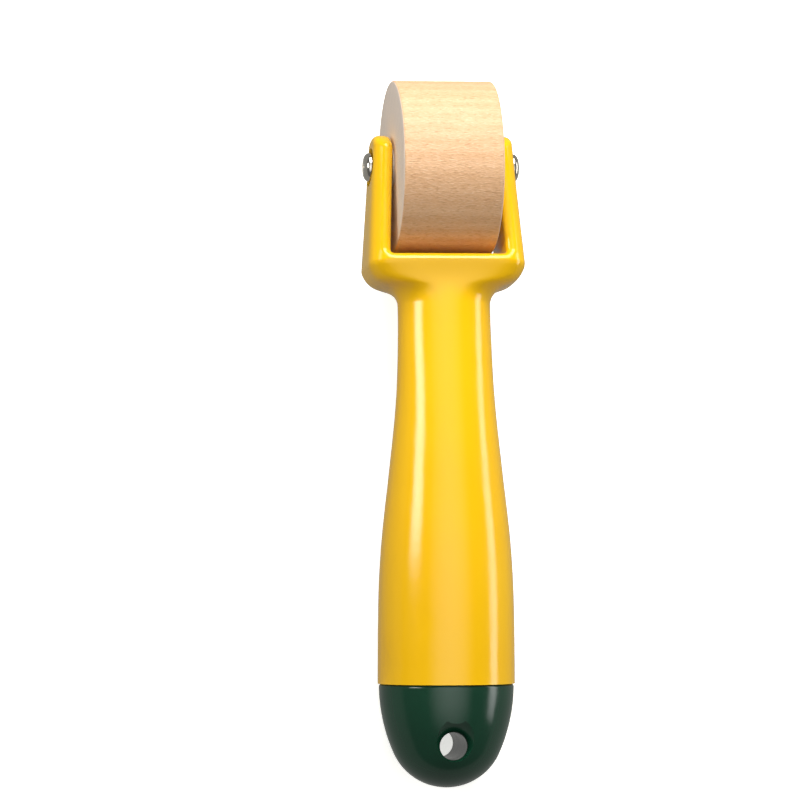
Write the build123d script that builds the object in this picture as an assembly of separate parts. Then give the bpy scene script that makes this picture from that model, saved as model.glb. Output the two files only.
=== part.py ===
from build123d import *
import math
import os

# Hand brayer: a turned wooden roller that spins on an axle held in the two-arm fork of a moulded handle,
# with a domed cap that closes the hollow handle and carries the hanging hole.
# Millimetres. The finished tool lies on its back on the plane z = 0: X runs along the axle, +Y runs from
# the cap to the roller, +Z is the face of the handle that the hand sees.
#
# The pieces are modelled in the fork's own frame, with the axle's centre at the origin, and are tilted
# into the lying position at the end. Stations are distances from the axle towards the cap, measured
# along the handle's centreline, which bends in the neck, so that the fork leans back from the grip.

# --- roller and its bushes -------------------------------------------------------------------------
ROLLER_DIAMETER = 38.0
ROLLER_WIDTH = 22.0
ROLLER_EDGE = 0.5            # rounding of the two rims
BUSH_OUTER = 7.5             # diameter pressed into the roller
BUSH_LENGTH = 7.0            # from the roller's face inwards
FLANGE_RIM = 0.85            # flange beyond the sleeve, radial
FLANGE_RECESS = 0.6          # depth that the flange sits in the roller's face
FLANGE_PROUD = 0.2           # thrust face standing out of the roller's face

# --- axle: a barrel with a pan head, and a screw that threads into its far end -----------------------
BARREL_DIAMETER = 4.5
THREAD_DIAMETER = 3.0
THREAD_LENGTH = 9.0          # engaged in the barrel
THREAD_HOLE_SPARE = 2.0      # blind hole beyond the screw's tip
BARREL_SETBACK = 0.8         # barrel's end short of the far seat, so that the screw can clamp
HEAD_RIM = 0.9               # head beyond the barrel, radial
HEAD_HEIGHT = 2.3
HEAD_SIDE = 0.8              # straight side under the dome
RECESS_SPAN = 3.4            # cross recess, tip to tip
RECESS_WIDTH = 0.95
RECESS_DEPTH = 1.5
RECESS_TAPER = 9.0           # degrees
WASHER_RIM = 0.85            # washer beyond the head, radial
WASHER_THICKNESS = 0.6

# --- fork ------------------------------------------------------------------------------------------
GAP_FLARE = 1.2              # each arm's inner face leans out by this much from the axle to the floor
GAP_CORNER = 0.8             # rounding where the arms meet the floor
FORK_EDGE = 1.5              # rounding of the gap's long edges and of the arms' ends
ARM_WALL_AT_AXLE = 4.2       # thickness of an arm at the axle, before its seat is cut
ARM_WALL_AT_FOOT = 4.55      # thickness of an arm at the floor
FOOT_BELOW_FLOOR = 1.4       # the fork is widest this far below its floor
FOOT_DEPTH = 21.0            # front to back at the foot of the arms
ARM_DEPTH = 15.6             # front to back at the axle
ARM_REACH = 6.9              # the arms' rounded ends stand this far beyond the axle
ARM_SQUARENESS = 5.2         # 2 is an ellipse, larger is squarer
FOOT_CORNER = 4.8            # convex radius of the fork's lower corners
NECK_FILLET = 3.8            # concave radius into the neck
UNDERSIDE_TURN = 68.0        # degrees that both radii turn through
SEAT_DEPTH = 1.35            # spot face cut into each arm's outer side, at the axle

# --- handle ----------------------------------------------------------------------------------------
NECK_WIDTH = 20.3
NECK_DEPTH = 17.0
GRIP_LENGTH = 82.4           # from the top of the neck to the joint with the cap
BEND_ANGLE = 7.0             # degrees between the fork and the grip
BEND_START = 1.6             # the centreline bends between these two distances below the neck's top
BEND_END = 30.0
# (share of the grip's length below the neck's top, width, depth)
GRIP_OUTLINE = [
    (0.14, 20.7, 17.8),
    (0.25, 21.6, 19.8),
    (0.36, 23.3, 22.5),
    (0.47, 25.3, 25.1),
    (0.58, 27.4, 27.4),
    (0.69, 28.9, 28.9),
    (0.80, 29.6, 29.6),
    (0.90, 29.8, 29.8),
]
HANDLE_END_DIAMETER = 29.9
HANDLE_END_EDGE = 1.0
HANDLE_WALL = 2.8
CORE_LENGTH = 50.0           # hollow inside the handle, without its rounded nose
CORE_STRAIGHT = 24.0         # its straight part at the mouth, which takes the spigot
CORE_NOSE_DIAMETER = 13.0

# --- end cap ---------------------------------------------------------------------------------------
CAP_STEP = 0.25              # the cap is this much inside the handle's end, radial
CAP_HEIGHT = 22.6
CAP_EDGE = 0.7
CAP_NOSE_RADIUS = 12.6
CAP_NOSE_HEIGHT = 7.5        # the spherical nose ends here, measured from the tip
SPIGOT_LENGTH = 9.5
SPIGOT_LEAD = 0.6            # lead-in chamfer
SPIGOT_WALL = 2.0
CAP_HOLLOW = 6.0             # depth of the hollow below the joint
HANG_HOLE_DIAMETER = 6.0
HANG_HOLE_HEIGHT = 9.3       # from the tip
HANG_MOUTH_FLARE = 1.4       # radial, of the flared mouths at front and back
HANG_MOUTH_DEPTH = 3.0

# --- clearances ------------------------------------------------------------------------------------
RUNNING_FIT = 0.05           # radial, bush on barrel and barrel in the arms
WASHER_FIT = 0.10            # radial, washer on its screw
SEAT_FIT = 0.20              # radial, washer in its spot face
FLANGE_FIT = 0.05            # radial, flange in its recess
FLOOR_CLEARANCE = 1.5        # roller to the fork's floor
SIDE_CLEARANCE = 0.55        # roller's face to each arm at the axle

# --- sizes that follow -----------------------------------------------------------------------------
FLANGE_OUTER = BUSH_OUTER + 2.0 * FLANGE_RIM
HEAD_DIAMETER = BARREL_DIAMETER + 2.0 * HEAD_RIM
WASHER_DIAMETER = HEAD_DIAMETER + 2.0 * WASHER_RIM
SPOT_DIAMETER = WASHER_DIAMETER + 2.0 * SEAT_FIT
FORK_FLOOR = ROLLER_DIAMETER / 2.0 + FLOOR_CLEARANCE
GAP_AT_AXLE = ROLLER_WIDTH + 2.0 * SIDE_CLEARANCE
GAP_AT_FLOOR = GAP_AT_AXLE + 2.0 * GAP_FLARE
FORK_AT_AXLE = GAP_AT_AXLE + 2.0 * ARM_WALL_AT_AXLE
FORK_WIDEST = GAP_AT_FLOOR + 2.0 * ARM_WALL_AT_FOOT
FOOT_STATION = FORK_FLOOR + FOOT_BELOW_FLOOR
SPOT_WIDTH = FORK_AT_AXLE - 2.0 * SEAT_DEPTH
CAP_DIAMETER = HANDLE_END_DIAMETER - 2.0 * CAP_STEP


def neck_top_station():
    """Station where the neck's straight side begins: below the foot, its corner, underside and fillet."""
    turn = math.radians(UNDERSIDE_TURN)
    radii = FOOT_CORNER + NECK_FILLET
    across = (FORK_WIDEST - NECK_WIDTH) / 2.0 - radii * (1.0 - math.cos(turn))
    return FOOT_STATION + radii * math.sin(turn) + across / math.tan(turn)


NECK_TOP = neck_top_station()
HANDLE_END = NECK_TOP + GRIP_LENGTH

SECTION_POINTS = 32


def station_plane(station):
    """Plane square to the centreline at a station: its x is the tool's X, its normal points at the cap."""
    bend = math.radians(BEND_ANGLE)
    radius = (BEND_END - BEND_START) / bend
    first = NECK_TOP + BEND_START
    turned = min(max(station - first, 0.0) / radius, bend)
    straight = max(station - NECK_TOP - BEND_END, 0.0)
    before = min(station, first)
    down = before + radius * math.sin(turned) + straight * math.cos(bend)
    back = radius * (1.0 - math.cos(turned)) + straight * math.sin(bend)
    normal = (0.0, -math.cos(turned), -math.sin(turned))
    return Plane(origin=(0.0, -down, -back), x_dir=(1.0, 0.0, 0.0), z_dir=normal)


def section_face(station, width, depth, squareness=2.0):
    """Closed smooth section: an ellipse when squareness is 2, a soft rectangle when it is larger."""
    points = []
    for index in range(SECTION_POINTS):
        turn = 2.0 * math.pi * index / SECTION_POINTS
        cosine = math.cos(turn)
        sine = math.sin(turn)
        reach = (abs(cosine) ** squareness + abs(sine) ** squareness) ** (-1.0 / squareness)
        points.append((width / 2.0 * reach * cosine, depth / 2.0 * reach * sine))
    outline = Spline(*points, periodic=True)
    return station_plane(station) * make_face(outline)


def fork_width(station):
    """Outer width of the tapering fork."""
    slope = (FORK_WIDEST - FORK_AT_AXLE) / FOOT_STATION
    return FORK_AT_AXLE + slope * station


def gap_width(station):
    """Width between the arms' inner faces."""
    slope = (GAP_AT_FLOOR - GAP_AT_AXLE) / FORK_FLOOR
    return GAP_AT_AXLE + slope * station


def neck_stations():
    """(station, width) down the concave fillet and the convex lower corner of the fork, from the neck."""
    turn = math.radians(UNDERSIDE_TURN)
    found = []
    for share in (0.0, 0.35, 0.7, 1.0):
        angle = share * turn
        station = NECK_TOP - NECK_FILLET * math.sin(angle)
        width = NECK_WIDTH + 2.0 * NECK_FILLET * (1.0 - math.cos(angle))
        found.append((station, width))
    for share in (0.9, 0.6, 0.3, 0.0):
        angle = share * turn
        station = FOOT_STATION + FOOT_CORNER * math.sin(angle)
        width = FORK_WIDEST - 2.0 * FOOT_CORNER * (1.0 - math.cos(angle))
        found.append((station, width))
    return found


def neck_depth(station):
    """Depth between the foot and the neck: it falls off soon and then eases into the neck."""
    along = (station - FOOT_STATION) / (NECK_TOP - FOOT_STATION)
    left = (1.0 - along) ** 3 * (1.0 + 1.5 * along)
    return NECK_DEPTH + (FOOT_DEPTH - NECK_DEPTH) * left


def neck_sections():
    """Sections from the neck to the fork's foot, squarer and deeper as the fork widens."""
    faces = []
    for station, width in neck_stations():
        share = (width - NECK_WIDTH) / (FORK_WIDEST - NECK_WIDTH)
        squareness = 2.0 + (ARM_SQUARENESS - 2.0) * share
        faces.append(section_face(station, width, neck_depth(station), squareness))
    return faces


def grip_sections():
    """Sections from the joint with the cap up to the neck."""
    faces = [section_face(HANDLE_END, HANDLE_END_DIAMETER, HANDLE_END_DIAMETER)]
    for share, width, depth in reversed(GRIP_OUTLINE):
        faces.append(section_face(NECK_TOP + share * GRIP_LENGTH, width, depth))
    faces.append(section_face(NECK_TOP + NECK_FILLET, NECK_WIDTH, NECK_DEPTH))
    faces.append(section_face(NECK_TOP, NECK_WIDTH, NECK_DEPTH))
    return faces


def arm_block():
    """The tapering soft-edged block that becomes the two arms, run out past their ends."""
    beyond = -ARM_DEPTH
    depth_slope = (FOOT_DEPTH - ARM_DEPTH) / FOOT_STATION
    foot = section_face(FOOT_STATION, FORK_WIDEST, FOOT_DEPTH, ARM_SQUARENESS)
    end = section_face(beyond, fork_width(beyond), ARM_DEPTH + depth_slope * beyond, ARM_SQUARENESS)
    return loft([foot, end], ruled=True)


def handle_envelope():
    """The handle's outside before the fork's gap and the hollow are taken out."""
    return loft(grip_sections()) + loft(neck_sections()) + arm_block()


def grip_frame():
    """Plane whose x is the tool's X and whose y runs along the grip's centreline towards the roller,
    with its origin on the joint between the handle and the cap."""
    joint = station_plane(HANDLE_END)
    return Plane(origin=joint.origin, x_dir=(1.0, 0.0, 0.0), z_dir=joint.y_dir)


def turned_about_grip(profile):
    """A half profile drawn in the grip's frame, turned about the grip's centreline."""
    frame = grip_frame()
    axis = Axis(frame.origin, frame.y_dir)
    return revolve(frame * profile, axis, 360)


def spigot_radius():
    """Radius of the spigot and of the handle's bore that it is pressed into."""
    return HANDLE_END_DIAMETER / 2.0 - HANDLE_WALL


def handle_core():
    """The hollow inside the handle: straight for the spigot, then drafted to a rounded nose."""
    mouth = spigot_radius()
    tip = CORE_NOSE_DIAMETER / 2.0
    outline = [
        Line((0.0, -1.0), (mouth, -1.0)),
        Line((mouth, -1.0), (mouth, CORE_STRAIGHT)),
        Line((mouth, CORE_STRAIGHT), (tip, CORE_LENGTH)),
        Bezier((tip, CORE_LENGTH), (tip * 0.8, CORE_LENGTH + tip * 0.8), (0.0, CORE_LENGTH + tip)),
        Line((0.0, CORE_LENGTH + tip), (0.0, -1.0)),
    ]
    return turned_about_grip(make_face(outline))


def handle_rim():
    """What rounding the outer edge at the handle's end takes away."""
    radius = HANDLE_END_DIAMETER / 2.0
    inside = radius - HANDLE_END_EDGE
    outside = radius + HANDLE_END_EDGE
    share = HANDLE_END_EDGE * math.sqrt(0.5)
    outline = [
        ThreePointArc((inside, 0.0), (inside + share, HANDLE_END_EDGE - share), (radius, HANDLE_END_EDGE)),
        Line((radius, HANDLE_END_EDGE), (outside, HANDLE_END_EDGE)),
        Line((outside, HANDLE_END_EDGE), (outside, -HANDLE_END_EDGE)),
        Line((outside, -HANDLE_END_EDGE), (inside, -HANDLE_END_EDGE)),
        Line((inside, -HANDLE_END_EDGE), (inside, 0.0)),
    ]
    return turned_about_grip(make_face(outline))


def fork_gap():
    """The tapering space between the arms, with rounded floor corners."""
    foot = GAP_AT_FLOOR / 2.0
    end = gap_width(-FORK_FLOOR) / 2.0
    outline = Polyline((-foot, -FORK_FLOOR), (foot, -FORK_FLOOR), (end, FORK_FLOOR), (-end, FORK_FLOOR),
                       close=True)
    block = extrude(make_face(outline), amount=FOOT_DEPTH, both=True)
    corners = block.edges().filter_by(Axis.Z).group_by(Axis.Y)[0]
    return fillet(corners, GAP_CORNER)


def arm_side_limit():
    """Everything below the axle's level, and an oval bar about the axle that rounds the arms' ends."""
    reach = 3.0 * HANDLE_END_DIAMETER
    bar = extrude(Plane.YZ * Ellipse(ARM_REACH, ARM_DEPTH / 2.0), amount=FORK_WIDEST, both=True)
    below = Pos(0.0, -reach, 0.0) * Box(2.0 * FORK_WIDEST, 2.0 * reach, 2.0 * reach)
    return bar + below


def fork_edges(body):
    """The edges that the gap leaves on the arms and the floor, and the edges around the arms' ends."""
    widest = GAP_AT_FLOOR / 2.0 + GAP_CORNER
    end_start = ARM_REACH / 2.0
    found = []
    for edge in body.edges():
        middle = edge @ 0.5
        curved = edge.geom_type != GeomType.LINE
        on_fork = middle.Y > -FORK_FLOOR - GAP_CORNER / 2.0
        on_gap = abs(middle.X) < widest and abs(middle.Z) > ARM_DEPTH / 3.0
        on_end = middle.Y > end_start
        if curved and on_fork and (on_gap or on_end):
            found.append(edge)
    return found


def make_handle():
    body = handle_envelope() & arm_side_limit()
    body -= handle_rim()
    body -= fork_gap()
    body = fillet(fork_edges(body), FORK_EDGE)
    body -= handle_core()
    for side in (-1.0, 1.0):
        seat = side * (SPOT_WIDTH / 2.0 + FORK_WIDEST / 2.0)
        body -= Pos(seat, 0.0, 0.0) * Cylinder(SPOT_DIAMETER / 2.0, FORK_WIDEST, rotation=(0, 90, 0))
    hole = BARREL_DIAMETER / 2.0 + RUNNING_FIT
    body -= Cylinder(hole, 2.0 * FORK_WIDEST, rotation=(0, 90, 0))
    return body


def cap_outline():
    """Outer half profile of the cap in the grip's frame, from the joint to the tip."""
    tip = -CAP_HEIGHT
    centre = tip + CAP_NOSE_RADIUS
    shoulder = tip + CAP_NOSE_HEIGHT
    rise = CAP_NOSE_RADIUS - CAP_NOSE_HEIGHT
    shoulder_radius = math.sqrt(CAP_NOSE_RADIUS ** 2 - rise ** 2)
    tangent = (rise, shoulder_radius)
    half_turn = math.asin(shoulder_radius / CAP_NOSE_RADIUS) / 2.0
    middle = (CAP_NOSE_RADIUS * math.sin(half_turn), centre - CAP_NOSE_RADIUS * math.cos(half_turn))
    nose = ThreePointArc((0.0, tip), middle, (shoulder_radius, shoulder))
    side = TangentArc((shoulder_radius, shoulder), (CAP_DIAMETER / 2.0, 0.0), tangent=tangent)
    return nose, side


def cap_body():
    """The cap with its spigot, closed at the nose and hollow towards the handle."""
    nose, side = cap_outline()
    joint = Line((CAP_DIAMETER / 2.0, 0.0), (0.0, 0.0))
    centreline = Line((0.0, 0.0), (0.0, -CAP_HEIGHT))
    shell = make_face([nose, side, joint, centreline])
    rim = shell.vertices().sort_by_distance((CAP_DIAMETER / 2.0, 0.0, 0.0))[0]
    body = turned_about_grip(fillet(rim, CAP_EDGE))
    spigot = spigot_radius()
    hollow = spigot - SPIGOT_WALL
    lead = SPIGOT_LENGTH - SPIGOT_LEAD
    tube = Polyline((0.0, -1.0), (spigot, -1.0), (spigot, lead), (spigot - SPIGOT_LEAD, SPIGOT_LENGTH),
                    (0.0, SPIGOT_LENGTH), close=True)
    body += turned_about_grip(make_face(tube))
    cavity = Polyline((0.0, -CAP_HOLLOW), (hollow * 0.8, -CAP_HOLLOW), (hollow, -CAP_HOLLOW * 0.5),
                      (hollow, SPIGOT_LENGTH + 1.0), (0.0, SPIGOT_LENGTH + 1.0), close=True)
    return body - turned_about_grip(make_face(cavity))


def hang_hole():
    """Through hole from front to back with a flared mouth at each end."""
    frame = grip_frame()
    place = frame * Pos(0.0, HANG_HOLE_HEIGHT - CAP_HEIGHT, 0.0)
    bore = HANG_HOLE_DIAMETER / 2.0
    mouth = bore + HANG_MOUTH_FLARE
    surface = cap_radius_at_hole()
    tool = Cylinder(bore, 4.0 * CAP_DIAMETER)
    flare = [
        Line((0.0, surface - HANG_MOUTH_DEPTH), (bore, surface - HANG_MOUTH_DEPTH)),
        Bezier((bore, surface - HANG_MOUTH_DEPTH), (bore, surface - HANG_MOUTH_DEPTH * 0.4),
               (mouth, surface), (mouth + HANG_MOUTH_DEPTH * 0.5, surface + HANG_MOUTH_DEPTH * 0.5)),
        Line((mouth + HANG_MOUTH_DEPTH * 0.5, surface + HANG_MOUTH_DEPTH * 0.5),
             (0.0, surface + HANG_MOUTH_DEPTH * 0.5)),
        Line((0.0, surface + HANG_MOUTH_DEPTH * 0.5), (0.0, surface - HANG_MOUTH_DEPTH)),
    ]
    mouth_tool = revolve(Plane.XZ * make_face(flare), Axis.Z, 360)
    tool += mouth_tool
    tool += mirror(mouth_tool, Plane.XY)
    return place * tool


def cap_radius_at_hole():
    """Radius of the cap at the height of the hanging hole, found on the curved side above the nose."""
    _, side = cap_outline()
    level = HANG_HOLE_HEIGHT - CAP_HEIGHT
    below = 0.0
    above = 1.0
    for _ in range(40):
        middle = (below + above) / 2.0
        if (side @ middle).Y < level:
            below = middle
        else:
            above = middle
    return (side @ below).X


def make_end_cap():
    return cap_body() - hang_hole()


def along_axle(start, end, diameter):
    """Solid cylinder on the axle's line between two X positions."""
    middle = (start + end) / 2.0
    return Pos(middle, 0.0, 0.0) * Cylinder(diameter / 2.0, abs(end - start), rotation=(0, 90, 0))


def make_roller():
    half = ROLLER_WIDTH / 2.0
    body = along_axle(-half, half, ROLLER_DIAMETER)
    rims = body.edges().filter_by(GeomType.CIRCLE)
    body = fillet(rims, ROLLER_EDGE)
    body -= along_axle(-half, half, BUSH_OUTER)
    recess = FLANGE_OUTER + 2.0 * FLANGE_FIT
    for side in (-1.0, 1.0):
        body -= along_axle(side * (half - FLANGE_RECESS), side * (half + 1.0), recess)
    return body


def make_bush(side):
    face = side * ROLLER_WIDTH / 2.0
    sleeve = along_axle(face - side * BUSH_LENGTH, face, BUSH_OUTER)
    flange = along_axle(face - side * FLANGE_RECESS, face + side * FLANGE_PROUD, FLANGE_OUTER)
    bore = BARREL_DIAMETER + 2.0 * RUNNING_FIT
    return sleeve + flange - along_axle(face - side * (BUSH_LENGTH + 1.0), face + side, bore)


def pan_head(side):
    """Domed head with a cross recess, standing on its washer."""
    radius = HEAD_DIAMETER / 2.0
    outline = [
        Line((0.0, 0.0), (radius, 0.0)),
        Line((radius, 0.0), (radius, HEAD_SIDE)),
        Bezier((radius, HEAD_SIDE), (radius, HEAD_HEIGHT * 0.85), (radius * 0.6, HEAD_HEIGHT),
               (0.0, HEAD_HEIGHT)),
        Line((0.0, HEAD_HEIGHT), (0.0, 0.0)),
    ]
    head = revolve(Plane.XZ * make_face(outline), Axis.Z, 360)
    cross = Rectangle(RECESS_SPAN, RECESS_WIDTH) + Rectangle(RECESS_WIDTH, RECESS_SPAN)
    head -= Pos(0.0, 0.0, HEAD_HEIGHT) * extrude(cross, amount=-RECESS_DEPTH, taper=RECESS_TAPER)
    seat = side * (SPOT_WIDTH / 2.0 + WASHER_THICKNESS)
    return Plane(origin=(seat, 0.0, 0.0), x_dir=(0.0, 1.0, 0.0), z_dir=(side, 0.0, 0.0)) * head


def make_axle_barrel():
    """Left head with the barrel, which crosses both arms and is threaded inside its right end."""
    head_face = -SPOT_WIDTH / 2.0 - WASHER_THICKNESS
    far_end = SPOT_WIDTH / 2.0 - BARREL_SETBACK
    hole_end = far_end - THREAD_LENGTH - THREAD_HOLE_SPARE
    body = pan_head(-1.0) + along_axle(head_face, far_end, BARREL_DIAMETER)
    return body - along_axle(hole_end, far_end + 1.0, THREAD_DIAMETER)


def make_axle_screw():
    """Right head with the threaded shank that draws the two heads together."""
    head_face = SPOT_WIDTH / 2.0 + WASHER_THICKNESS
    tip = SPOT_WIDTH / 2.0 - BARREL_SETBACK - THREAD_LENGTH
    return pan_head(1.0) + along_axle(tip, head_face, THREAD_DIAMETER)


def make_washer(side, shank):
    seat = side * SPOT_WIDTH / 2.0
    outer = seat + side * WASHER_THICKNESS
    ring = along_axle(seat, outer, WASHER_DIAMETER)
    return ring - along_axle(seat - side, outer + side, shank + 2.0 * WASHER_FIT)


def lying_angle(resting):
    """Degrees to tilt the fork's frame about X so that the roller and these shapes both touch the ground."""
    low = -10.0
    high = 10.0
    for _ in range(18):
        middle = (low + high) / 2.0
        tilt = Rot(middle, 0.0, 0.0)
        lowest = min((tilt * shape).bounding_box().min.Z for shape in resting)
        if lowest < -ROLLER_DIAMETER / 2.0:
            high = middle
        else:
            low = middle
    return (low + high) / 2.0


def build():
    nodes = {
        "handle": make_handle(),
        "end_cap": make_end_cap(),
        "roller": make_roller(),
        "left_bush": make_bush(-1.0),
        "right_bush": make_bush(1.0),
        "axle_barrel": make_axle_barrel(),
        "axle_screw": make_axle_screw(),
        "left_washer": make_washer(-1.0, BARREL_DIAMETER),
        "right_washer": make_washer(1.0, THREAD_DIAMETER),
    }
    tilt = Rot(lying_angle((nodes["handle"], nodes["end_cap"])), 0.0, 0.0)
    nodes = {name: tilt * shape for name, shape in nodes.items()}
    boxes = [shape.bounding_box() for shape in nodes.values()]
    front = max(box.max.Y for box in boxes)
    back = min(box.min.Y for box in boxes)
    ground = min(box.min.Z for box in boxes)
    place = Pos(0.0, -(front + back) / 2.0, -ground)
    return {name: place * shape for name, shape in nodes.items()}


os.makedirs("parts", exist_ok=True)
for name, shape in build().items():
    export_step(shape, f"parts/{name}.step")
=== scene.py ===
# %% [markdown]
# # A wooden-roller brayer
# A hand brayer presses paper, foil or fabric flat. A beech roller spins on a steel axle between the
# two arms of a moulded yellow handle, and a dark green cap closes the handle's hollow end. The
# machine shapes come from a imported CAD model, which is loaded here as a fixed frame. Blender adds
# what a CAD model doesn't carry: the wood, the gloss of the mouldings, the plating and the light.

# %% Load the frame
import math

import bmesh
import bpy
from mathutils import Matrix, Vector


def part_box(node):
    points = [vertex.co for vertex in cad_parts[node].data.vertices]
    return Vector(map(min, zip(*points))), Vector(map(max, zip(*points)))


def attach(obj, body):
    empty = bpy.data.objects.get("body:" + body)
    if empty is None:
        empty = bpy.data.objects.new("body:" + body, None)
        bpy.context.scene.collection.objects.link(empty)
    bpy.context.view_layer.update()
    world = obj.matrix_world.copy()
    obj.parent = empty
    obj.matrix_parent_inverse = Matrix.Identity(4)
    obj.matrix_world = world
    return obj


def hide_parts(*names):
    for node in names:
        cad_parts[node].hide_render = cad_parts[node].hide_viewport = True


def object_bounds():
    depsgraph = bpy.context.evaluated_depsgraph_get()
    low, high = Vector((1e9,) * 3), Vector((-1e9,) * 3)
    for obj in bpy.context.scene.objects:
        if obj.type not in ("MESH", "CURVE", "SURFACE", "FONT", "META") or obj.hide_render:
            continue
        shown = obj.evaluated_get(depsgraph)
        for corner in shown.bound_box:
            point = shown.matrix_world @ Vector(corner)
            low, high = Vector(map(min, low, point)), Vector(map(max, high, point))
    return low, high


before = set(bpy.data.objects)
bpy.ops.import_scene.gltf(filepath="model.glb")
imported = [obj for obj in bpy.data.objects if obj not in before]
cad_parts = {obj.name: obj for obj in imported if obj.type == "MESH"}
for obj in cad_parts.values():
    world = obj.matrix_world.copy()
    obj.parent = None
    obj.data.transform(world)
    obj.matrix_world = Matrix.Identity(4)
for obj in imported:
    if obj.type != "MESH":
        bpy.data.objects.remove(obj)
cad_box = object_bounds()
print("nodes:", sorted(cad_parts))

# %% [markdown]
# Blender measures in metres, and most sizes on this tool are a few millimetres. One name for a
# millimetre keeps the numbers below readable. The places that everything else hangs on are measured
# from the frame: the roller's centre, which is also the axle's line, and the middle of the whole
# tool.

# %% Sizes and places
MM = 0.001


def middle_of(node):
    """Middle of a CAD node's box."""
    low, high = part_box(node)
    return (low + high) / 2.0


def size_of(node):
    """Size of a CAD node's box along X, Y and Z."""
    low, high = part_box(node)
    return high - low


axle = middle_of("roller")
tool_low, tool_high = Vector(cad_box[0]), Vector(cad_box[1])
tool_middle = (tool_low + tool_high) / 2.0
print("axle at", [round(v / MM, 2) for v in axle], "mm")
print("tool is", [round(v / MM, 2) for v in tool_high - tool_low], "mm")

# %% [markdown]
# Colours are easiest to choose as the hex values that a screen shows, but shaders work in linear
# light. One function turns the first into the second. A second small function adds a node with its
# settings and its links, so that each material below reads as a short list of what feeds what.

# %% Helpers for materials
WAVE_RINGS = 0.31416           # a Wave Texture's rings lie this far apart at a scale of 1


def linear(hex_colour):
    """sRGB hex such as 'FFD21A' to a linear RGBA colour."""
    channels = []
    for start in (0, 2, 4):
        value = int(hex_colour[start:start + 2], 16) / 255.0
        channels.append(value / 12.92 if value <= 0.04045 else ((value + 0.055) / 1.055) ** 2.4)
    return (*channels, 1.0)


def node(tree, kind, settings=None, values=None, links=None):
    """Adds one node: settings are its own options, values fill its inputs, links feed them."""
    made = tree.nodes.new(kind)
    for name, value in (settings or {}).items():
        setattr(made, name, value)
    for name, value in (values or {}).items():
        made.inputs[name].default_value = value
    for name, source in (links or {}).items():
        tree.links.new(source, made.inputs[name])
    return made


def new_material(name):
    """An empty material with its output, and its node tree."""
    material = bpy.data.materials.new(name)
    material.use_nodes = True
    material.node_tree.nodes.clear()
    return material, material.node_tree


def finish_material(tree, shader):
    """Joins a shader to the material's output."""
    node(tree, "ShaderNodeOutputMaterial", links={"Surface": shader.outputs["BSDF"]})


print("colour check, mid grey 808080 is", round(linear("808080")[0], 3), "in linear light")

# %% [markdown]
# The handle is a moulded, pigmented plastic such as ABS, from a polished mould. That gives a deep
# even yellow under a clear sharp gloss, and only the faintest ripple where the plastic shrank as it
# cooled. A flat yellow would look like paint on a screen, so the colour drifts very slightly over a
# few centimetres, the gloss varies where hands have been, and a low bump bends the reflections a
# little.

# %% Yellow moulded ABS


def make_yellow_abs():
    material, tree = new_material("moulded_abs_yellow")
    place = node(tree, "ShaderNodeTexCoord").outputs["Object"]
    drift = node(tree, "ShaderNodeTexNoise", values={"Scale": 1.0 / (28.0 * MM), "Detail": 2.0},
                 links={"Vector": place})
    pigment = node(tree, "ShaderNodeMix", settings={"data_type": "RGBA"},
                   values={6: linear("F5B905"), 7: linear("F9C40B")},
                   links={0: drift.outputs["Fac"]}).outputs[2]
    handled = node(tree, "ShaderNodeTexNoise", values={"Scale": 1.0 / (9.0 * MM), "Detail": 4.0},
                   links={"Vector": place})
    gloss = node(tree, "ShaderNodeMapRange", values={"From Min": 0.3, "From Max": 0.7, "To Min": 0.13,
                                                     "To Max": 0.19},
                 links={"Value": handled.outputs["Fac"]})
    ripple = node(tree, "ShaderNodeTexNoise", values={"Scale": 1.0 / (5.0 * MM), "Detail": 1.0},
                  links={"Vector": place})
    relief = node(tree, "ShaderNodeBump", values={"Strength": 0.06, "Distance": 0.25 * MM},
                  links={"Height": ripple.outputs["Fac"]})
    shader = node(tree, "ShaderNodeBsdfPrincipled",
                  values={"IOR": 1.53},
                  links={"Base Color": pigment, "Roughness": gloss.outputs["Result"],
                         "Normal": relief.outputs["Normal"]})
    finish_material(tree, shader)
    return material


yellow_abs = make_yellow_abs()
print("made", yellow_abs.name, "with", len(yellow_abs.node_tree.nodes), "nodes")

# %% [markdown]
# The end cap comes from the same kind of plastic in a dark bottle green. On a dark colour the gloss
# is nearly all that the eye sees, so its fine handling marks matter more than its pigment.

# %% Green moulded ABS


def make_green_abs():
    material, tree = new_material("moulded_abs_green")
    place = node(tree, "ShaderNodeTexCoord").outputs["Object"]
    drift = node(tree, "ShaderNodeTexNoise", values={"Scale": 1.0 / (14.0 * MM), "Detail": 3.0},
                 links={"Vector": place})
    pigment = node(tree, "ShaderNodeMix", settings={"data_type": "RGBA"},
                   values={6: linear("0D3423"), 7: linear("17432F")},
                   links={0: drift.outputs["Fac"]}).outputs[2]
    handled = node(tree, "ShaderNodeTexNoise", values={"Scale": 1.0 / (4.0 * MM), "Detail": 6.0,
                                                       "Roughness": 0.65},
                   links={"Vector": place})
    gloss = node(tree, "ShaderNodeMapRange", values={"From Min": 0.3, "From Max": 0.75, "To Min": 0.12,
                                                     "To Max": 0.24},
                 links={"Value": handled.outputs["Fac"]})
    relief = node(tree, "ShaderNodeBump", values={"Strength": 0.05, "Distance": 0.2 * MM},
                  links={"Height": handled.outputs["Fac"]})
    shader = node(tree, "ShaderNodeBsdfPrincipled", values={"IOR": 1.53},
                  links={"Base Color": pigment, "Roughness": gloss.outputs["Result"],
                         "Normal": relief.outputs["Normal"]})
    finish_material(tree, shader)
    return material


green_abs = make_green_abs()
print("made", green_abs.name, "with", len(green_abs.node_tree.nodes), "nodes")

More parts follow.
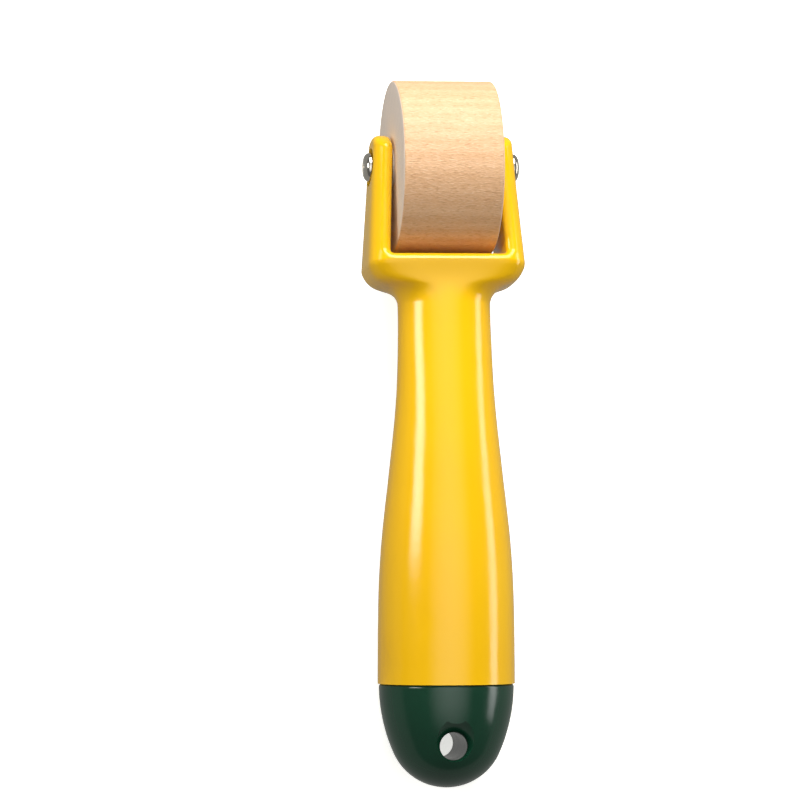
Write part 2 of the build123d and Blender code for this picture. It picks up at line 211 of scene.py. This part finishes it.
# %% [markdown]
# The roller is turned from beech and sanded, without varnish. Beech is a pale pinkish brown wood.
# Its year rings show as soft broad bands, and its rays as fine short darker flecks that lie along
# the grain, here along the axle. The texture is a solid one: it fills the wood, so the turned face
# cuts it into flecks, and the same lines come out on the ends as faint specks and arcs. The ends are
# also painted paler and greyer, a painted light that stands in for the light they catch.

# %% Sanded beech


def stretched_noise(tree, place, along, across, detail, roughness=0.5):
    """Noise drawn out along the grain: its grains are this long and this wide, in millimetres."""
    space = node(tree, "ShaderNodeMapping",
                 values={"Scale": (1.0 / (along * MM), 1.0 / (across * MM), 1.0 / (across * MM))},
                 links={"Vector": place}).outputs["Vector"]
    return node(tree, "ShaderNodeTexNoise",
                values={"Scale": 1.0, "Detail": detail, "Roughness": roughness},
                links={"Vector": space}).outputs["Fac"]


def make_beech():
    material, tree = new_material("sanded_beech")
    place = node(tree, "ShaderNodeTexCoord").outputs["Object"]
    centred = node(tree, "ShaderNodeMapping", values={"Location": -axle}, links={"Vector": place})
    centred = centred.outputs["Vector"]
    # the tree's heart lies 26 mm from the axle, so the year rings cross the roller as flat arcs
    heart = node(tree, "ShaderNodeMapping", values={"Location": (0.0, 10.0 * MM, -24.0 * MM),
                                                    "Scale": (0.06, 1.0, 1.0)},
                 links={"Vector": centred}).outputs["Vector"]
    rings = node(tree, "ShaderNodeTexWave",
                 settings={"wave_type": "RINGS", "rings_direction": "X", "wave_profile": "SIN"},
                 values={"Scale": WAVE_RINGS / (3.1 * MM), "Distortion": 1.6, "Detail": 2.0,
                         "Detail Scale": 0.8},
                 links={"Vector": heart}).outputs["Fac"]
    # a beech ray is 1 to 3 mm long and 0.1 mm wide; these are 0.26 mm wide, as thinner would not show
    rays = stretched_noise(tree, centred, 1.4, 0.26, 2.0, 0.6)
    fibres = stretched_noise(tree, centred, 9.0, 0.55, 3.0)
    pores = stretched_noise(tree, centred, 0.9, 0.14, 0.0)
    ground = node(tree, "ShaderNodeMix", settings={"data_type": "RGBA"},
                  values={6: linear("E2B385"), 7: linear("D8A677")}, links={0: rings}).outputs[2]
    streaks = node(tree, "ShaderNodeMix", settings={"data_type": "RGBA"},
                   values={6: linear("C08E5E"), 7: linear("F6D8B2")}, links={0: fibres}).outputs[2]
    wood = node(tree, "ShaderNodeMix", settings={"data_type": "RGBA"}, values={0: 0.30},
                links={6: ground, 7: streaks}).outputs[2]
    ray_mask = node(tree, "ShaderNodeMapRange",
                    values={"From Min": 0.53, "From Max": 0.70, "To Min": 0.0, "To Max": 0.62},
                    links={"Value": rays}).outputs["Result"]
    rayed = node(tree, "ShaderNodeMix", settings={"data_type": "RGBA"}, values={7: linear("B47C4E")},
                 links={0: ray_mask, 6: wood}).outputs[2]
    glint = node(tree, "ShaderNodeMapRange",
                 values={"From Min": 0.6, "From Max": 0.75, "To Min": 0.0, "To Max": 0.35},
                 links={"Value": pores}).outputs["Result"]
    turned_face = node(tree, "ShaderNodeMix", settings={"data_type": "RGBA"},
                       values={7: linear("F7DDB8")}, links={0: glint, 6: rayed}).outputs[2]
    # the ends are cut across the grain; they are painted paler and greyer, painted light that stands in
    # for the light they catch
    facing = node(tree, "ShaderNodeSeparateXYZ",
                  links={"Vector": node(tree, "ShaderNodeTexCoord").outputs["Normal"]}).outputs["X"]
    facing = node(tree, "ShaderNodeMath", settings={"operation": "ABSOLUTE"}, links={0: facing})
    painted_end_light = node(tree, "ShaderNodeMapRange",
                     values={"From Min": 0.6, "From Max": 0.95, "To Min": 0.0, "To Max": 0.68},
                     links={"Value": facing.outputs["Value"]}).outputs["Result"]
    colour = node(tree, "ShaderNodeMix", settings={"data_type": "RGBA"}, values={7: linear("F3EDE4")},
                  links={0: painted_end_light, 6: turned_face}).outputs[2]
    height = node(tree, "ShaderNodeMath", settings={"operation": "ADD"}, links={0: rays, 1: pores})
    relief = node(tree, "ShaderNodeBump", values={"Strength": 0.8, "Distance": 0.1 * MM},
                  links={"Height": height.outputs["Value"]})
    shader = node(tree, "ShaderNodeBsdfPrincipled", values={"IOR": 1.5, "Roughness": 0.55},
                  links={"Base Color": colour, "Normal": relief.outputs["Normal"]})
    finish_material(tree, shader)
    return material


beech = make_beech()
print("made", beech.name, "with", len(beech.node_tree.nodes), "nodes")

# %% [markdown]
# The axle's two heads and its washers are steel, turned and then plated with bright nickel. The
# plating is a warm, nearly white mirror, and the lathe's fine rings under it pull each reflection
# into a short sweep.

# %% Bright nickel plate


def make_nickel():
    material, tree = new_material("bright_nickel_plate")
    place = node(tree, "ShaderNodeTexCoord").outputs["Object"]
    centred = node(tree, "ShaderNodeMapping", values={"Location": -axle},
                   links={"Vector": place}).outputs["Vector"]
    # 0.22 mm from ring to ring, coarser than a real finishing cut so that it can show
    lathe = node(tree, "ShaderNodeTexWave",
                 settings={"wave_type": "RINGS", "rings_direction": "X", "wave_profile": "SIN"},
                 values={"Scale": WAVE_RINGS / (0.22 * MM), "Distortion": 0.4, "Detail": 1.0},
                 links={"Vector": centred})
    relief = node(tree, "ShaderNodeBump", values={"Strength": 0.12, "Distance": 0.01 * MM},
                  links={"Height": lathe.outputs["Fac"]})
    haze = node(tree, "ShaderNodeTexNoise", values={"Scale": 1.0 / (1.5 * MM), "Detail": 3.0},
                links={"Vector": centred})
    gloss = node(tree, "ShaderNodeMapRange", values={"From Min": 0.3, "From Max": 0.7, "To Min": 0.08,
                                                     "To Max": 0.18},
                 links={"Value": haze.outputs["Fac"]})
    shader = node(tree, "ShaderNodeBsdfPrincipled",
                  values={"Base Color": linear("D8D3C8"), "Metallic": 1.0},
                  links={"Roughness": gloss.outputs["Result"], "Normal": relief.outputs["Normal"]})
    finish_material(tree, shader)
    return material


nickel = make_nickel()
print("made", nickel.name, "with", len(nickel.node_tree.nodes), "nodes")

# %% [markdown]
# The two bushes are undyed nylon, the usual bearing plastic: a milky off-white that lets a little
# light in, with a dull sheen from its machined surface.

# %% Natural nylon


def make_nylon():
    material, tree = new_material("machined_nylon")
    place = node(tree, "ShaderNodeTexCoord").outputs["Object"]
    grain = node(tree, "ShaderNodeTexNoise", values={"Scale": 1.0 / (0.6 * MM), "Detail": 3.0},
                 links={"Vector": place})
    tint = node(tree, "ShaderNodeMix", settings={"data_type": "RGBA"},
                values={6: linear("E4E0D4"), 7: linear("F4F3EB")},
                links={0: grain.outputs["Fac"]}).outputs[2]
    relief = node(tree, "ShaderNodeBump", values={"Strength": 0.1, "Distance": 0.02 * MM},
                  links={"Height": grain.outputs["Fac"]})
    shader = node(tree, "ShaderNodeBsdfPrincipled",
                  values={"IOR": 1.53, "Roughness": 0.42, "Subsurface Weight": 0.15,
                          "Subsurface Radius": (1.0, 0.9, 0.8), "Subsurface Scale": 0.8 * MM},
                  links={"Base Color": tint, "Normal": relief.outputs["Normal"]})
    finish_material(tree, shader)
    return material


nylon = make_nylon()
print("made", nylon.name, "with", len(nylon.node_tree.nodes), "nodes")

# %% [markdown]
# The CAD nodes already have the right shapes, so they stay and only take their finish. A material
# goes into the node's own slot, which leaves its mesh untouched.

# %% Dress the CAD nodes


def dress(name, material):
    """Puts one material on a CAD node."""
    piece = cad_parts[name]
    while len(piece.material_slots) == 0:
        piece.data.materials.append(material)
    for index in range(len(piece.material_slots)):
        piece.material_slots[index].link = "OBJECT"
        piece.material_slots[index].material = material


FINISHES = {
    "handle": yellow_abs,
    "end_cap": green_abs,
    "roller": beech,
    "left_bush": nylon,
    "right_bush": nylon,
    "axle_barrel": nickel,
    "axle_screw": nickel,
    "left_washer": nickel,
    "right_washer": nickel,
}
for name, material in FINISHES.items():
    dress(name, material)
    print(name, "is", material.name)

# %% [markdown]
# The roller is a turned piece, so its shape follows one rule: half of its outline, swept once
# around the axle. A lathe built in Geometry Nodes says exactly that. Its inputs are the sizes that
# a wood turner would write on the drawing, and its mesh has even rings, on which the sanded rims
# shade more cleanly than on the CAD model's triangles. The outline is eight corners: the rim, the
# recess for the bush's flange and the bore on one side, and the same mirrored on the other. Only
# the two corners at the rims are rounded.

# %% The lathe
ROLLER_SIZES = ("Radius", "Half Width", "Edge", "Recess Radius", "Recess Depth", "Bore Radius")


def lathe_inputs(tree):
    """The sockets that a turner would set, and the group input's outputs."""
    tree.interface.new_socket("Geometry", in_out="OUTPUT", socket_type="NodeSocketGeometry")
    for name in ROLLER_SIZES:
        tree.interface.new_socket(name, in_out="INPUT", socket_type="NodeSocketFloat")
    tree.interface.new_socket("Centre", in_out="INPUT", socket_type="NodeSocketVector")
    tree.interface.new_socket("Segments", in_out="INPUT", socket_type="NodeSocketInt")
    tree.interface.new_socket("Wood", in_out="INPUT", socket_type="NodeSocketMaterial")
    return node(tree, "NodeGroupInput").outputs


def outline_corners(tree, sizes):
    """The outline's eight corners: X is the distance from the axle, Y the place along it."""
    recess_floor = node(tree, "ShaderNodeMath", settings={"operation": "SUBTRACT"},
                        links={0: sizes["Half Width"], 1: sizes["Recess Depth"]}).outputs["Value"]
    corners = []
    for across, along in ((sizes["Radius"], sizes["Half Width"]),
                          (sizes["Recess Radius"], sizes["Half Width"]),
                          (sizes["Recess Radius"], recess_floor),
                          (sizes["Bore Radius"], recess_floor)):
        corner = node(tree, "ShaderNodeCombineXYZ", links={"X": across, "Y": along})
        corners.append(corner.outputs["Vector"])
    for corner in list(reversed(corners)):
        corners.append(node(tree, "ShaderNodeVectorMath", settings={"operation": "MULTIPLY"},
                            values={1: (1.0, -1.0, 1.0)}, links={0: corner}).outputs["Vector"])
    return corners


def outline_curve(tree, sizes):
    """The closed outline, with its two rims rounded."""
    corners = outline_corners(tree, sizes)
    index = node(tree, "GeometryNodeInputIndex").outputs["Index"]
    pick = node(tree, "GeometryNodeIndexSwitch", settings={"data_type": "VECTOR"}, links={0: index})
    while len(pick.index_switch_items) < len(corners):
        pick.index_switch_items.new()
    for number, corner in enumerate(corners):
        tree.links.new(corner, pick.inputs[number + 1])
    line = node(tree, "GeometryNodeMeshLine", values={"Count": len(corners)}).outputs["Mesh"]
    placed = node(tree, "GeometryNodeSetPosition",
                  links={"Geometry": line, "Position": pick.outputs["Output"]})
    curve = node(tree, "GeometryNodeMeshToCurve", links={"Mesh": placed.outputs["Geometry"]})
    closed = node(tree, "GeometryNodeSetSplineCyclic", values={"Cyclic": True},
                  links={"Geometry": curve.outputs["Curve"]})
    ends = [node(tree, "FunctionNodeCompare", settings={"data_type": "INT", "operation": "EQUAL"},
                 values={3: number}, links={2: index}).outputs["Result"]
            for number in (0, len(corners) - 1)]
    rim = node(tree, "FunctionNodeBooleanMath", settings={"operation": "OR"},
               links={0: ends[0], 1: ends[1]})
    radius = node(tree, "ShaderNodeMath", settings={"operation": "MULTIPLY"},
                  links={0: rim.outputs["Boolean"], 1: sizes["Edge"]}).outputs["Value"]
    return node(tree, "GeometryNodeFilletCurve", settings={"mode": "POLY"}, values={"Count": 6},
                links={"Curve": closed.outputs["Geometry"], "Radius": radius}).outputs["Curve"]


def make_lathe():
    tree = bpy.data.node_groups.new("turned_roller", "GeometryNodeTree")
    sizes = lathe_inputs(tree)
    outline = outline_curve(tree, sizes)
    # the path is a circle too small to see, so the outline's X is already its distance from the axle
    path = node(tree, "GeometryNodeCurvePrimitiveCircle", values={"Radius": 1e-6},
                links={"Resolution": sizes["Segments"]}).outputs["Curve"]
    swept = node(tree, "GeometryNodeCurveToMesh", links={"Curve": path, "Profile Curve": outline})
    laid = node(tree, "GeometryNodeTransform", values={"Rotation": (0.0, math.pi / 2.0, 0.0)},
                links={"Geometry": swept.outputs["Mesh"], "Translation": sizes["Centre"]})
    real = node(tree, "GeometryNodeRealizeInstances", links={"Geometry": laid.outputs["Geometry"]})
    wooden = node(tree, "GeometryNodeSetMaterial",
                  links={"Geometry": real.outputs["Geometry"], "Material": sizes["Wood"]})
    tree.links.new(wooden.outputs["Geometry"], node(tree, "NodeGroupOutput").inputs[0])
    return tree


lathe = make_lathe()
print("made", lathe.name, "with", len(lathe.nodes), "nodes")

# %% [markdown]
# The sizes come from the frame: the roller's own box, and the bush, whose flange fits the recess
# and whose sleeve fits the bore. The result is turned into a plain mesh, gets smooth rims with
# crisp corners inside, and rides on the roller's body in place of the CAD node.

# %% Turn the roller


def turned(name, tree, sizes):
    """Evaluates a tree with these inputs and returns a plain mesh object."""
    holder = bpy.data.objects.new(name + "_holder", bpy.data.meshes.new(name + "_holder"))
    bpy.context.scene.collection.objects.link(holder)
    modifier = holder.modifiers.new("lathe", "NODES")
    modifier.node_group = tree
    for item in tree.interface.items_tree:
        if item.in_out == "INPUT":
            modifier[item.identifier] = sizes[item.name]
    evaluated = holder.evaluated_get(bpy.context.evaluated_depsgraph_get())
    mesh = bpy.data.meshes.new_from_object(evaluated)
    bpy.data.objects.remove(holder)
    mesh.name = name
    piece = bpy.data.objects.new(name, mesh)
    bpy.context.scene.collection.objects.link(piece)
    return piece


def shade_smooth_to(mesh, degrees):
    """Shades a mesh smooth, but keeps every edge that turns more than this as a crisp one."""
    form = bmesh.new()
    form.from_mesh(mesh)
    limit = math.radians(degrees)
    for face in form.faces:
        face.smooth = True
    for edge in form.edges:
        edge.smooth = len(edge.link_faces) == 2 and edge.calc_face_angle(0.0) < limit
    form.to_mesh(mesh)
    form.free()


FRAME_MARGIN = 0.005 * MM      # keeps the turned piece inside the CAD node's own box
RIM_RADIUS = 0.5 * MM          # the sanded edge of each end
RECESS_CLEARANCE = 0.05 * MM   # around the bush's flange
RECESS_DEPTH = 0.6 * MM
BORE_RADIUS = 3.75 * MM        # holds the bush's sleeve
ROUND_SEGMENTS = 192
CRISP_ANGLE = 40.0             # degrees
bush_low, bush_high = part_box("right_bush")
flange_radius = (bush_high.z - bush_low.z) / 2.0
turned_roller = turned("turned_roller", lathe, {
    "Radius": size_of("roller").y / 2.0 - FRAME_MARGIN,
    "Half Width": size_of("roller").x / 2.0 - FRAME_MARGIN,
    "Edge": RIM_RADIUS,
    "Recess Radius": flange_radius + RECESS_CLEARANCE,
    "Recess Depth": RECESS_DEPTH,
    "Bore Radius": BORE_RADIUS,
    "Centre": tuple(axle),
    "Segments": ROUND_SEGMENTS,
    "Wood": beech,
})
shade_smooth_to(turned_roller.data, CRISP_ANGLE)
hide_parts("roller")
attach(turned_roller, "roller_body")
print("turned roller:", len(turned_roller.data.polygons), "faces")

# %% [markdown]
# The tool lies on its back on a lit white table, as for a catalogue picture. The table glows a
# little, so it reads as clean white and lifts the undersides without a hard shadow. Its glow is
# weaker for light that bounces off the tool than for the camera, because a full white table would
# wash out the gloss.

# %% The table
TABLE_GAP = 0.02 * MM          # keeps the tool's lowest points clear of the table's face


def make_table():
    material, tree = new_material("lit_white_table")
    place = node(tree, "ShaderNodeTexCoord").outputs["Object"]
    mottle = node(tree, "ShaderNodeTexNoise", values={"Scale": 1.0 / (6.0 * MM), "Detail": 2.0},
                  links={"Vector": place})
    tint = node(tree, "ShaderNodeMix", settings={"data_type": "RGBA"},
                values={6: linear("F6F5EF"), 7: linear("FAFAF6")},
                links={0: mottle.outputs["Fac"]}).outputs[2]
    seen = node(tree, "ShaderNodeBsdfPrincipled",
                values={"Roughness": 0.6, "Emission Color": linear("FFFFFB"), "Emission Strength": 0.6},
                links={"Base Color": tint})
    mirrored = node(tree, "ShaderNodeEmission", values={"Color": linear("FFFFFB"), "Strength": 0.30})
    sort = node(tree, "ShaderNodeMixShader",
                links={0: node(tree, "ShaderNodeLightPath").outputs["Is Camera Ray"],
                       1: mirrored.outputs["Emission"], 2: seen.outputs["BSDF"]})
    node(tree, "ShaderNodeOutputMaterial", links={"Surface": sort.outputs["Shader"]})
    mesh = bpy.data.meshes.new("table")
    reach = 3.0
    top = tool_low.z - TABLE_GAP
    corners = [(-reach, -reach, top), (reach, -reach, top), (reach, reach, top), (-reach, reach, top)]
    mesh.from_pydata(corners, [], [(0, 1, 2, 3)])
    mesh.materials.append(material)
    table = bpy.data.objects.new("table", mesh)
    bpy.context.scene.collection.objects.link(table)
    return table


table = make_table()
print("table top is at", round((tool_low.z - TABLE_GAP) / MM, 3), "mm")

# %% [markdown]
# Gloss needs something to reflect. Two tall soft boxes stand at the tool's sides and draw the two
# long streaks down the handle. A wide one overhead fills the middle, and a small one beyond the
# roller lights its far side, so that the wood darkens towards the fork. A dim white surround keeps
# the shadows open.

# %% Light


def fade_to_edges(lamp, softness):
    """Makes a rectangular light brightest in its middle, as the lamp behind a soft box's cloth does."""
    lamp.use_nodes = True
    tree = lamp.node_tree
    tree.nodes.clear()
    across = node(tree, "ShaderNodeNewGeometry").outputs["Parametric"]
    centred = node(tree, "ShaderNodeVectorMath", settings={"operation": "MULTIPLY_ADD"},
                   values={1: (2.0, 2.0, 0.0), 2: (-1.0, -1.0, 0.0)},
                   links={0: across}).outputs["Vector"]
    squared = node(tree, "ShaderNodeVectorMath", settings={"operation": "MULTIPLY"},
                   links={0: centred, 1: centred}).outputs["Vector"]
    parts = node(tree, "ShaderNodeSeparateXYZ", links={"Vector": squared})
    fades = []
    for axis in ("X", "Y"):
        left = node(tree, "ShaderNodeMath", settings={"operation": "SUBTRACT", "use_clamp": True},
                    values={0: 1.0}, links={1: parts.outputs[axis]}).outputs["Value"]
        fades.append(node(tree, "ShaderNodeMath", settings={"operation": "POWER"}, values={1: softness},
                          links={0: left}).outputs["Value"])
    both = node(tree, "ShaderNodeMath", settings={"operation": "MULTIPLY"},
                links={0: fades[0], 1: fades[1]}).outputs["Value"]
    glow = node(tree, "ShaderNodeEmission", links={"Strength": both})
    node(tree, "ShaderNodeOutputLight", links={"Surface": glow.outputs["Emission"]})


def soft_box(name, bearing, lift, distance, width, length, power, along=0.0, softness=0.5):
    """A rectangular light, long along Y, aimed at the handle. bearing is degrees from straight up
    towards +X, lift is degrees towards +Y, along moves its centre further along Y."""
    turn, raise_by = math.radians(bearing), math.radians(lift)
    toward = Vector((math.sin(turn) * math.cos(raise_by), math.sin(raise_by),
                     math.cos(turn) * math.cos(raise_by)))
    target = Vector((0.0, tool_middle.y, 0.017)) + Vector((0.0, along, 0.0))
    lamp = bpy.data.lights.new(name, "AREA")
    lamp.shape = "RECTANGLE"
    lamp.size = width
    lamp.size_y = length
    lamp.energy = power
    fade_to_edges(lamp, softness)
    holder = bpy.data.objects.new(name, lamp)
    z_axis = toward
    y_axis = (Vector((0.0, 1.0, 0.0)) - z_axis * z_axis.y).normalized()
    x_axis = y_axis.cross(z_axis)
    holder.matrix_world = Matrix.Translation(target + toward * distance) @ Matrix(
        (x_axis, y_axis, z_axis)).transposed().to_4x4()
    bpy.context.scene.collection.objects.link(holder)
    print(name, "at", [round(v, 3) for v in holder.matrix_world.translation], "power", power, "W")
    return holder


left_box = soft_box("left_soft_box", -64.0, 0.0, 0.60, 0.25, 0.30, 2.2, along=0.15)
right_box = soft_box("right_soft_box", 78.0, 0.0, 0.60, 0.20, 0.74, 2.3, along=0.08)
overhead_box = soft_box("overhead_soft_box", -2.0, -6.0, 0.90, 1.50, 1.50, 10.0, softness=1.5)
far_box = soft_box("far_soft_box", 6.0, 55.0, 0.45, 0.40, 0.40, 4.9, along=0.03)

world = bpy.data.worlds.new("pale_surround")
world.use_nodes = True
world.node_tree.nodes["Background"].inputs["Color"].default_value = linear("FFFFFF")
world.node_tree.nodes["Background"].inputs["Strength"].default_value = 0.12
bpy.context.scene.world = world
bpy.context.scene.view_settings.view_transform = "Standard"

# %% [markdown]
# The camera looks down on the lying tool from just beyond the cap, turned a little so that the
# roller's left end shows, with a long lens that keeps the handle's sides nearly parallel.

# %% Camera
CAMERA_TURN = 9.4
CAMERA_HEIGHT = 84.0
CAMERA_ROLL = -0.96
CAMERA_DISTANCE = 1.2
LENS_LENGTH = 247.75           # mm, on a sensor 36 mm wide
SENSOR_WIDTH = 36.0            # mm
TOOL_AT = (0.5564, 0.5399)     # the tool's middle in the picture, as shares from its left and its top


def make_camera():
    turn, height, roll = (math.radians(v) for v in (CAMERA_TURN, CAMERA_HEIGHT, CAMERA_ROLL))
    toward = Vector((-math.sin(turn), -math.cos(height) * math.cos(turn),
                     math.sin(height) * math.cos(turn)))
    toward.normalize()
    up = (Vector((0.0, 1.0, 0.0)) - toward * toward.y).normalized()
    right = up.cross(toward)
    rolled_right = right * math.cos(roll) + up * math.sin(roll)
    rolled_up = up * math.cos(roll) - right * math.sin(roll)
    place = tool_middle + toward * CAMERA_DISTANCE
    seen_width = CAMERA_DISTANCE * SENSOR_WIDTH / LENS_LENGTH
    aim = tool_middle + rolled_right * ((0.5 - TOOL_AT[0]) * seen_width)
    aim += rolled_up * ((TOOL_AT[1] - 0.5) * seen_width)
    z_axis = (place - aim).normalized()
    y_axis = (rolled_up - z_axis * rolled_up.dot(z_axis)).normalized()
    x_axis = y_axis.cross(z_axis)
    lens = bpy.data.cameras.new("camera")
    lens.sensor_width = SENSOR_WIDTH
    lens.lens = LENS_LENGTH
    lens.clip_end = 20.0
    camera = bpy.data.objects.new("camera", lens)
    facing = Matrix((x_axis, y_axis, z_axis)).transposed().to_4x4()
    camera.matrix_world = Matrix.Translation(place) @ facing
    bpy.context.scene.collection.objects.link(camera)
    bpy.context.scene.camera = camera
    return camera


camera = make_camera()
print("camera lens", round(camera.data.lens, 1), "mm")

# %% Finish
print("CAD box", [[round(v, 4) for v in corner] for corner in cad_box])
